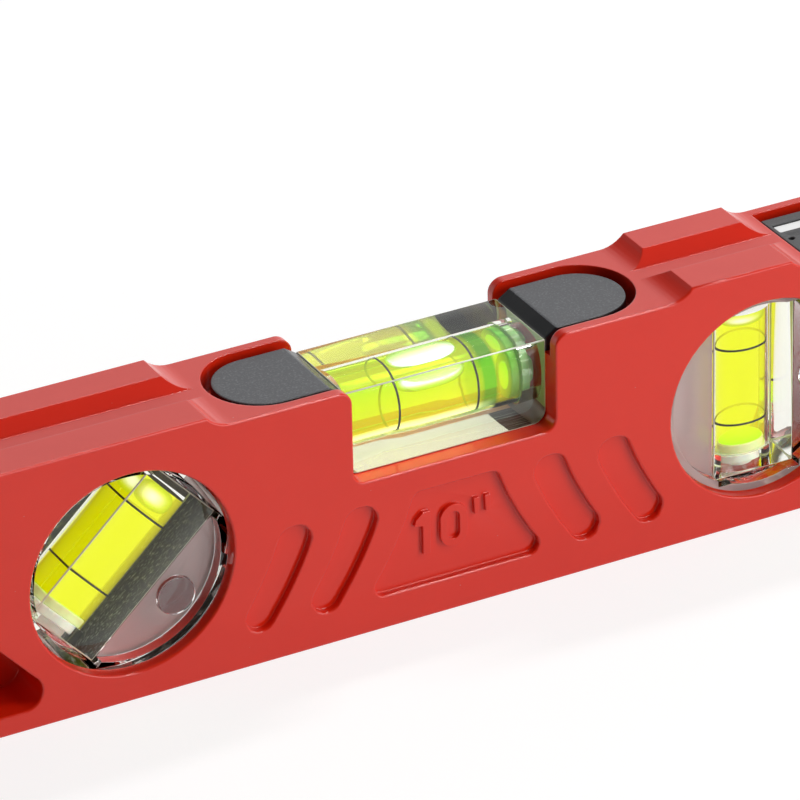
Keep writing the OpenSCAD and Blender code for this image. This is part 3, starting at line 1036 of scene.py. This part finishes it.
@dataclass
class Bubble:
    """Gas bubble against the wall of its bore, or under the closed end of it.

    Attributes:
        x: place of its middle along the vial.
        length: its length.
        width: its size across the vial, along the vial's second axis.
        height: its size along the vial's third axis.
        shift: distance of its middle from the vial's axis, along those two axes.
        fullness: how full its ends are, from 2 for an ellipsoid.
        reach: greatest distance of its wall from the vial's axis, where it lies against the bore.
    """

    x: float
    length: float
    width: float
    height: float
    shift: tuple[float, float] = (0.0, 0.0)
    fullness: float = 2.6
    reach: float = 4.75

    def add(self, bm: Mesh, index: int) -> None:
        """Adds the bubble's wall to the spirit's mesh.

        Args:
            bm: the spirit's mesh.
            index: material index of the wall.
        """
        steps, count, power = 24, 48, self.fullness
        rings = []
        for i in range(1, steps):
            share = math.cos(math.pi * i / steps)
            girth = (1 - abs(share) ** power) ** (1 / power)
            ring = []
            for j in range(count):
                turn = 2 * math.pi * j / count
                y = self.shift[0] + self.width / 2 * girth * math.cos(turn)
                z = self.shift[1] + self.height / 2 * girth * math.sin(turn)
                inward = min(1.0, self.reach / max(math.hypot(y, z), NEAR))
                ring.append(bm.verts.new((self.x + self.length / 2 * share, y * inward, z * inward)))
            rings.append(ring)
        skin(bm, rings, index)
        for ring, share in ((rings[0], 1), (rings[-1], -1)):
            tip = bm.verts.new((self.x + share * self.length / 2, *self.shift))
            for j in range(count):
                bm.faces.new((tip, ring[j], ring[(j + 1) % count])).material_index = index


@dataclass(frozen=True)
class Plug:
    """Stepped stopper of a vial: a foot, a flange in its wider bore, and a nose in the spirit.

    Attributes:
        sink: depth of its outer end under the end of the block.
        foot: radius and length of the foot.
        flange: radius and length of the flange.
        nose: radius and length of the nose.
        soft: width of the rounding along its edges.
        disc_r: radius of the dyed disc on its inner face.
    """

    sink: float = 0.7
    foot: tuple[float, float] = (3.85, 1.2)
    flange: tuple[float, float] = (5.4, 1.6)
    nose: tuple[float, float] = (4.5, 1.6)
    soft: float = 0.2
    disc_r: float = 4.2

    def seat(self) -> float:
        """Returns the depth of the wider bore."""
        return self.sink + self.foot[1] + self.flange[1]

    def profile(self, start: float) -> list[tuple[float, float]]:
        """Works out its profile.

        Args:
            start: place of the block's end along the vial.

        Returns:
            Places along the vial with their radii.
        """
        points, x = [], start + self.sink
        for r, length in (self.foot, self.flange, self.nose):
            points += [(x, r - self.soft), (x + self.soft, r), (x + length - self.soft, r)]
            x += length
            points.append((x, r - self.soft))
        return [*points, (x, self.disc_r)]


@dataclass
class Vial:
    """Square clear block, drilled and filled, with its plug, spirit, bubble and ring lines.

    Attributes:
        name: first word of its nodes' names.
        seat: its place.
        size: length, width and thickness of its block.
        bubble: its bubble.
        rings: last words of its ring nodes.
        green: whether its plug and the end of its spirit show green.
        stopper: its plug.
        bore_r: radius of the bore.
        blind: solid wall at the closed end.
        foot_r: radius of the lower edge at each end, which clears the window's corner, 0 for none.
        painted_shade_side_and_end: whether its lower side and its closed end are painted dark with scratch
            lines, as shade, and the underside under its closed end is painted brown, as shade.
        edge: width of the rounding along the block's edges.
        play: clearance of the spirit inside the bore.
        end_play: clearance of the spirit before the bore's floor.
        mouth_play: clearance of the flange inside the wider bore.
        flange_play: clearance of the spirit before the flange.
        nose_play: clearance of the spirit round the plug's nose and before it.
        film_from: place along the vial from which a bright film lies under its block. On the plug's side of
            it, the underside is painted dark as shade.
        amber_front: place across the vial from which painted amber light shows under its block's front.
        amber_back: the same distance towards its back.
    """

    name: str
    seat: Seat
    size: tuple[float, float, float]
    bubble: Bubble
    rings: tuple[str, str]
    green: bool = False
    stopper: Plug = field(default_factory=Plug)
    bore_r: float = 5.0
    blind: float = 2.2
    foot_r: float = 0.0
    painted_shade_side_and_end: bool = False
    edge: float = 0.22
    play: float = 0.2
    end_play: float = 0.03
    mouth_play: float = 0.03
    flange_play: float = 0.02
    nose_play: tuple[float, float] = (0.08, 0.05)
    film_from: float = -12.0
    amber_front: float = 7.6
    amber_back: float = 5.2

    def place(self, bm: Mesh) -> Mesh:
        """Moves a mesh from the vial's own axes to the frame and returns it."""
        bm.transform(Matrix.Scale(MM, 4) @ self.seat.matrix())
        return bm

    def outside(self) -> Mesh:
        """Builds the outside of the block, each part of it marked for its finish.

        Returns:
            The mesh, along the vial's own axes.
        """
        half = [size / 2 for size in self.size]
        bm = box_mesh([-h for h in half], half)
        cut = half[0] - self.blind if self.painted_shade_side_and_end else self.film_from
        cuts = [((cut, 0.0, 0.0), (1.0, 0.0, 0.0))]
        if self.foot_r:
            cuts += [((0.0, y, 0.0), (0.0, 1.0, 0.0)) for y in (self.amber_front, -self.amber_back)]
        for place, facing in cuts:
            whole = [*bm.verts, *bm.edges, *bm.faces]
            bmesh.ops.bisect_plane(bm, geom=whole, plane_co=place, plane_no=facing, dist=1e-5)
        for face in bm.faces:
            middle = face.calc_center_median()
            beyond = middle.x > cut
            # Painted shade: dark sides and ends with scratch lines, and a brown underside under the closed
            # end. Under the long vial, painted amber light along the front and back.
            if self.painted_shade_side_and_end and (face.normal.y < -SQUARE_ON or face.normal.x > SQUARE_ON):
                face.material_index = BlockFace.PAINTED_SHADE_WITH_SCRATCHES
            elif self.painted_shade_side_and_end and face.normal.z < -SQUARE_ON and beyond:
                face.material_index = BlockFace.PAINTED_BROWN_SHADE
            elif self.foot_r and face.normal.z < -SQUARE_ON:
                between = -self.amber_back < middle.y < self.amber_front
                ground = BlockFace.FILM if beyond else BlockFace.PAINTED_SHADE_WITH_SCRATCHES
                face.material_index = ground if between else BlockFace.PAINTED_AMBER_LIGHT
        rounded = {"profile": 0.5, "affect": "EDGES"}
        if self.foot_r:
            low = [
                e for e in bm.edges
                if all(v.co.z < 0 and abs(v.co.x) > half[0] - NEAR for v in e.verts)
                and abs(e.verts[0].co.z - e.verts[1].co.z) < NEAR
            ]
            # The rounded lower edges at the ends take the painted brown shade.
            bmesh.ops.bevel(bm, geom=low, offset=self.foot_r, segments=8, material=BlockFace.PAINTED_BROWN_SHADE, **rounded)
        # Every sharp edge of the block takes the painted highlight.
        sharp = [e for e in bm.edges if e.calc_face_angle(0.0) > math.radians(Shading.MACHINED.value)]
        bmesh.ops.bevel(bm, geom=sharp, offset=self.edge, segments=3, material=BlockFace.PAINTED_HIGHLIGHT_EDGE, **rounded)
        return bm

    def drill(self, bm: Mesh) -> None:
        """Drills the block from its plug end, with a wider mouth for the flange.

        Args:
            bm: outside of the block, along the vial's own axes.
        """
        end = min(bm.faces, key=lambda f: (round(f.calc_center_median().x, 3), -f.calc_area()))
        rim = list(end.edges)
        bmesh.ops.delete(bm, geom=[end], context="FACES_ONLY")
        start, wide = -self.size[0] / 2, self.stopper.flange[0] + self.mouth_play
        shoulder = start + self.stopper.seat()
        mouth = circle(bm, start, wide, BORE_POINTS)
        inner = circle(bm, shoulder, self.bore_r, BORE_POINTS)
        floor = circle(bm, self.size[0] / 2 - self.blind, self.bore_r, BORE_POINTS)
        skin(bm, [mouth, circle(bm, shoulder, wide, BORE_POINTS), inner], BlockFace.CLEAR)
        skin(bm, [inner, floor], BlockFace.BORE)
        bm.faces.new(floor).material_index = BlockFace.BORE
        edges = rim + [bm.edges.get((a, b)) for a, b in zip(mouth, [*mouth[1:], mouth[0]])]
        filled = bmesh.ops.triangle_fill(bm, use_beauty=True, edges=edges, normal=(-1.0, 0.0, 0.0))["geom"]
        for face in filled:
            if isinstance(face, bmesh.types.BMFace):
                face.material_index = BlockFace.SAWN if self.green else BlockFace.CLEAR

    def block(self, finishes: Finishes) -> Piece:
        """Builds the drilled block, with its bore's wall as a face of its own finish.

        Args:
            finishes: finishes of the level.

        Returns:
            The block.
        """
        bm = self.outside()
        self.drill(bm)
        order = [
            finishes.block, finishes.bore, finishes.painted_shade_with_scratches, finishes.film,
            finishes.edge, finishes.sawn, finishes.painted_amber_light, finishes.painted_brown_shade,
        ]
        name = f"{self.name}_clear_block"
        piece = piece_from(self.place(bm), name, "clear_block", order, Shading.MACHINED)
        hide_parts(f"{self.name}_block")
        return piece

    def spirit(self, finishes: Finishes) -> Piece:
        """Builds the spirit round the plug's nose, with the bubble's wall inside it.

        Args:
            finishes: finishes of the level.

        Returns:
            The spirit.
        """
        bm = bmesh.new()
        r, floor = self.bore_r - self.play, self.size[0] / 2 - self.blind - self.end_play
        start = -self.size[0] / 2 + self.stopper.seat() + self.flange_play
        nose_r = self.stopper.nose[0] + self.nose_play[0]
        nose_x = start + self.stopper.nose[1] + self.nose_play[1]
        turned(bm, [(nose_x, nose_r), (start, nose_r), (start, r), (floor, r)], BORE_POINTS)
        self.bubble.add(bm, 1)
        finish = [finishes.spirit, finishes.dim_bubble]
        if self.green:
            finish = [finishes.long_spirit, finishes.bubble]
        piece = piece_from(self.place(bm), f"{self.name}_dyed_spirit", "spirit", finish, Shading.MACHINED)
        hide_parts(f"{self.name}_spirit")
        return piece

    def plug(self, finishes: Finishes) -> Piece:
        """Builds the stepped plug with its rounded edges and its dyed inner face.

        Args:
            finishes: finishes of the level.

        Returns:
            The plug.
        """
        bm = bmesh.new()
        points = self.stopper.profile(-self.size[0] / 2)
        turned(bm, points)
        for face in bm.faces:
            if len(face.verts) > 4 and face.calc_center_median().x > points[0][0] + self.stopper.soft:
                face.material_index = 1
        finish = finishes.green_plug if self.green else finishes.plug
        slot = "green_plug" if self.green else "white_plug"
        piece = piece_from(
            self.place(bm), f"{self.name}_milky_plug", slot, [finish, finishes.plug_face], Shading.MACHINED
        )
        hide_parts(f"{self.name}_plug")
        return piece

    def build(self, finishes: Finishes) -> list[Piece]:
        """Builds the vial and blackens its ring lines.

        Args:
            finishes: finishes of the level.

        Returns:
            The block, the spirit and the plug.
        """
        for ring in self.rings:
            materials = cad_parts[f"{self.name}_ring_{ring}"].data.materials
            materials.clear()
            materials.append(finishes.line)
        return [self.block(finishes), self.spirit(finishes), self.plug(finishes)]


@dataclass(frozen=True)
class Softbox:
    """Soft rectangular lamp.

    Attributes:
        name: its name.
        place: its place in metres, seen from the level.
        size: its length along the level and its width, in metres.
        radiance: brightness of its face, where white paper in the light is about 1.
    """

    name: str
    place: tuple[float, float, float]
    size: tuple[float, float]
    radiance: float

    def build(self) -> None:
        """Hangs the lamp so that it faces the level, its long side along the level."""
        data = bpy.data.lights.new(self.name, "AREA")
        data.shape = "RECTANGLE"
        data.size, data.size_y = self.size
        data.energy = self.radiance * self.size[0] * self.size[1] * math.pi
        away = Vector(self.place).normalized()
        right = (Vector((1.0, 0.0, 0.0)) - away * away.x).normalized()
        turn = Matrix((right, away.cross(right), away)).transposed()
        lamp = bpy.data.objects.new(self.name, data)
        lamp.location = self.place
        lamp.rotation_euler = turn.to_euler()
        bpy.context.scene.collection.objects.link(lamp)


@dataclass
class Studio:
    """Pale floor, soft lamps and the camera of the photograph.

    Attributes:
        eye: place of the camera.
        target: point that it looks at.
        roll: turn of the camera about its view, in degrees.
        lens: focal length over a 36 mm sensor.
        dim_way: direction towards the dim part of the room.
        fade: how far along that direction its walls begin and end to fade.
        dome: brightness of that dim part.
        floor_reach: half the width of the floor, in metres.
        floor_glow: brightness of the white that the floor shows to the viewer, to glass and to metal.
        floor_share: share of that white. The rest of the floor's look takes the light and the shadow.
        lamps: the soft lamps.
    """

    eye: tuple[float, float, float] = (-452.44, -855.72, 559.09)
    target: tuple[float, float, float] = (-10.19, -11.74, 41.99)
    roll: float = -1.17
    lens: float = 300.17
    dim_way: tuple[float, float, float] = (-0.35, -0.45, 0.9)
    fade: tuple[float, float] = (0.08, 0.26)
    dome: float = 0.1
    floor_reach: float = 6.0
    floor_glow: float = 1.2
    floor_share: float = 0.65
    lamps: tuple[Softbox, ...] = (
        Softbox("key", (0.72, -0.98, 0.28), (0.8, 0.8), 3.9),
        Softbox("rim", (0.41, -0.48, 0.78), (0.12, 0.3), 19.0),
        Softbox("overhead_strip", (0.43, 0.35, 0.83), (0.5, 0.08), 26.0),
    )

    def build_world(self) -> None:
        """Makes a room whose low right and back parts are white, and whose other parts are dim."""
        world = bpy.data.worlds.new("studio_room")
        bpy.context.scene.world = world
        world.use_nodes = True
        t = Tree(world.node_tree)
        back = world.node_tree.nodes["Background"]
        way = t.add("TexCoord").outputs["Generated"]
        facing = t.add("VectorMath", {0: way, 1: self.dim_way}, operation="DOT_PRODUCT").outputs["Value"]
        low, high = self.fade
        span = {"Value": facing, "From Min": low, "From Max": high, "To Min": 1.0, "To Max": self.dome}
        strength = t.add("MapRange", span).outputs["Result"]
        t.feed(back, {"Color": (1.0, 1.0, 1.0), "Strength": strength})

    def build_floor(self) -> None:
        """Lays the pale floor that keeps the level's shadow."""
        bm = bmesh.new()
        bmesh.ops.create_grid(bm, x_segments=1, y_segments=1, size=self.floor_reach)
        mesh = bpy.data.meshes.new("floor")
        bm.to_mesh(mesh)
        bm.free()
        floor = bpy.data.objects.new("floor", mesh)
        bpy.context.scene.collection.objects.link(floor)
        material, t, shader, output = new_material("pale_floor")
        t.feed(shader, {"Base Color": (0.9, 0.9, 0.9), "Roughness": 0.9, "Specular IOR Level": 0.0})
        path = t.add("LightPath")
        bent = t.maths("MAXIMUM", path.outputs["Is Glossy Ray"], path.outputs["Is Transmission Ray"])
        seen = t.maths("MAXIMUM", path.outputs["Is Camera Ray"], bent)
        white = t.add("Emission", {"Strength": self.floor_glow})
        share = t.maths("MULTIPLY", seen, self.floor_share)
        mix = t.add("MixShader", {0: share, 1: shader.outputs[0], 2: white.outputs[0]})
        t.feed(output, {"Surface": mix.outputs[0]})
        mesh.materials.append(material)

    def build_camera(self) -> None:
        """Sets the camera as the photograph's."""
        data = bpy.data.cameras.new("photo_camera")
        camera = bpy.data.objects.new("photo_camera", data)
        data.sensor_width, data.lens = 36.0, self.lens
        data.clip_start, data.clip_end = 0.05, 50.0
        camera.location = Vector(self.eye) * MM
        look = (Vector(self.target) - Vector(self.eye)).to_track_quat("-Z", "Y")
        turn = Quaternion((0.0, 0.0, 1.0), math.radians(self.roll))
        camera.rotation_euler = (look @ turn).to_euler()
        bpy.context.scene.collection.objects.link(camera)
        bpy.context.scene.camera = camera

    def build(self) -> None:
        """Builds the studio."""
        self.build_camera()
        self.build_world()
        self.build_floor()
        for lamp in self.lamps:
            lamp.build()
        bpy.context.scene.view_settings.view_transform = "Standard"


def main() -> None:
    """Builds the studio, the finishes and each sub-assembly in turn."""
    logging.basicConfig(level=logging.INFO, format="%(message)s")
    Studio().build()
    make_effects()
    finishes = Finishes()
    slant = math.radians(43.0)
    run, rise = math.cos(slant), math.sin(slant)
    window_x, vial_y, window_z = 59.2, -0.7, 23.4
    middle = Seat((0.0, 0.0, 36.2), along=(-1.0, 0.0, 0.0), across=(0.0, -1.0, 0.0))
    slanted = Seat((-window_x, vial_y, window_z), along=(run, 0.0, rise), across=(-rise, 0.0, run))
    plumb = Seat((window_x, vial_y, window_z), along=(0.0, 0.0, 1.0), across=(-1.0, 0.0, 0.0))
    round_size, round_plug = (31.6, 15.6, 14.0), Plug(sink=0.2)
    parts = [
        Body(),
        Caps(),
        TopInsert(),
        Holder("slanted_holder", slanted, post=(1.0, -12.3), frosted=(-20.0, 0.0)),
        Holder("plumb_holder", plumb, post=(0.0, -12.3)),
        Vial(
            "middle", middle, (37.5, 16.9, 15.4),
            Bubble(x=0.0, length=12.4, width=6.2, height=4.6, shift=(0.0, 3.7)),
            ("left", "right"), green=True, stopper=Plug(disc_r=2.6), foot_r=2.4,
        ),
        Vial(
            "slanted", slanted, round_size,
            Bubble(x=11.4, length=4.3, width=7.8, height=8.0, shift=(0.5, 0.0)),
            ("low", "high"), stopper=round_plug, painted_shade_side_and_end=True,
        ),
        Vial(
            "plumb", plumb, round_size,
            Bubble(x=12.0, length=3.0, width=9.0, height=9.0, fullness=2.3),
            ("low", "high"), stopper=round_plug,
        ),
    ]
    for part in parts:
        for piece in part.build(finishes):
            LOG.info("%s: %s, %d faces", type(part).__name__, piece.name, len(piece.data.polygons))


if __name__ == "__main__":
    main()
